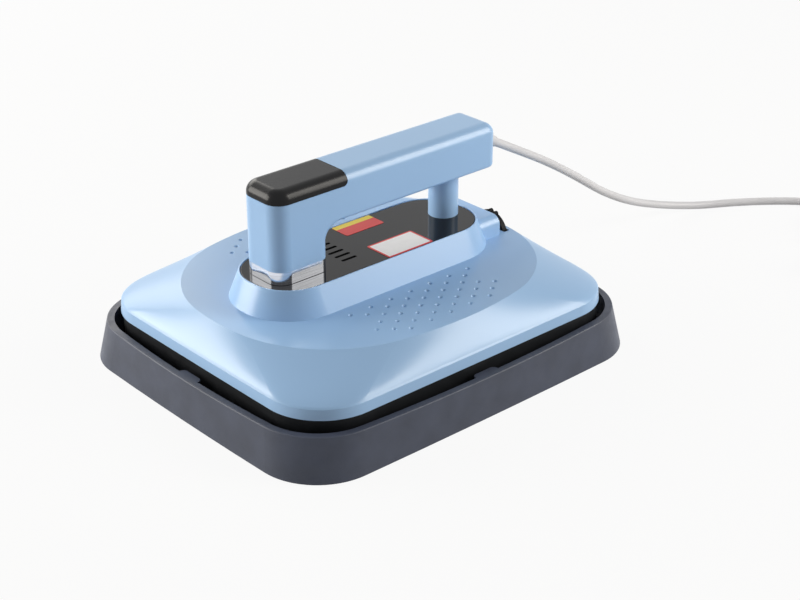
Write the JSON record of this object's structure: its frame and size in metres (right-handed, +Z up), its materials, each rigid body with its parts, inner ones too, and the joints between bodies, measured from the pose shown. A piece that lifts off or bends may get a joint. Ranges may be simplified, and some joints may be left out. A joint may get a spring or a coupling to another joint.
{
  "type": "handheld heat press",
  "caption": "Handheld craft heat press with a bridge handle, glossy control cap, rear dial and mains cord, standing in its insulated tray.",
  "frame": {"origin": "centre of the tray's footprint on the surface that it stands on", "axes": "+Z up; the handle runs along Y, its control cap towards -Y and its cord towards +Y; +X is to the right when looking along +Y"},
  "size_m": [0.3508, 0.7306, 0.1681],
  "materials": {
    "light_blue_plastic": "satin moulded plastic",
    "black_gloss_plastic": "high gloss",
    "tray_grey_plastic": "fine grained moulding",
    "black_plastic": "heat resistant moulding",
    "foot_rubber": "matt",
    "silicone": "matt",
    "fibre_mat": "felted fibre",
    "aluminium": "brushed",
    "steel": "zinc plated",
    "heater_sheath": "annealed sheath",
    "ceramic": "unglazed ceramic",
    "fibre_blanket": "ceramic fibre",
    "chrome": "polished",
    "label_red": "blank printed film",
    "label_white": "blank film",
    "board_green": "printed circuit board",
    "component_black": "moulded components",
    "lead_insulation": "silicone insulation",
    "cord_grey": "smooth cable jacket",
    "boot_grey": "moulded boot",
    "strap_black": "woven strap",
    "plug_grey": "moulded plug",
    "brass": "plated pins"
  },
  "bodies": {
    "tray": {"tray_shell": "tray_grey_plastic", "tray_feet": "foot_rubber", "heat_mat": "fibre_mat", "liner_sheet": "aluminium", "plate_rests": "silicone", "cord_coil": "cord_grey", "cord_tie": "strap_black", "plug_body": "plug_grey", "plug_pins": "brass"},
    "press": {"lid_cover": "light_blue_plastic", "base_frame": "black_plastic", "heating_plate": "aluminium", "heater_tube": "heater_sheath", "heater_terminals": "ceramic", "clamp_sheet": "steel", "insulation_blanket": "fibre_blanket", "standoffs": "steel", "standoff_screws": "steel", "deck_screws": "steel", "temperature_sensor": "ceramic", "sensor_clip": "steel", "thermal_fuse": "steel", "cutout_thermostat": "component_black", "terminal_block": "ceramic", "backing_plate": "steel", "handle_plinth": "light_blue_plastic", "plinth_screws": "steel", "plinth_panel": "black_gloss_plastic", "blank_label_red": "label_red", "blank_label_white": "label_white", "front_pillar": "black_plastic", "pillar_screws": "steel", "handle_screws": "steel", "column_trim_ring": "chrome", "rear_post": "light_blue_plastic", "post_spacer": "black_plastic", "post_bolt": "steel", "post_nut": "steel", "handle_shell": "light_blue_plastic", "handle_underside": "light_blue_plastic", "underside_screws": "steel", "display_cap": "black_gloss_plastic", "display_board": "board_green", "display_screws": "steel", "display_module": "component_black", "touch_springs": "steel", "control_board": "board_green", "power_parts": "component_black", "board_screws": "steel", "heater_leads": "lead_insulation", "supply_lead": "cord_grey", "strain_relief": "boot_grey", "cord_clamp": "black_plastic", "clamp_screws": "steel", "dial_bracket": "black_plastic", "dial_potentiometer": "component_black", "cord_tube": "cord_grey"},
    "dial": {"dial_wheel": "black_plastic", "dial_spindle": "steel"}
  },
  "joints": [
    {"name": "press_lift", "type": "slide", "parent": "tray", "child": "press", "axis": [0, 0, 1], "range_m": [0, 0.045]},
    {"name": "dial_turn", "type": "hinge", "parent": "press", "child": "dial", "pos_m": [0.0084, 0.1361, 0.0646], "axis": [0, 1, 0], "range_deg": [-135, 135]}
  ]
}
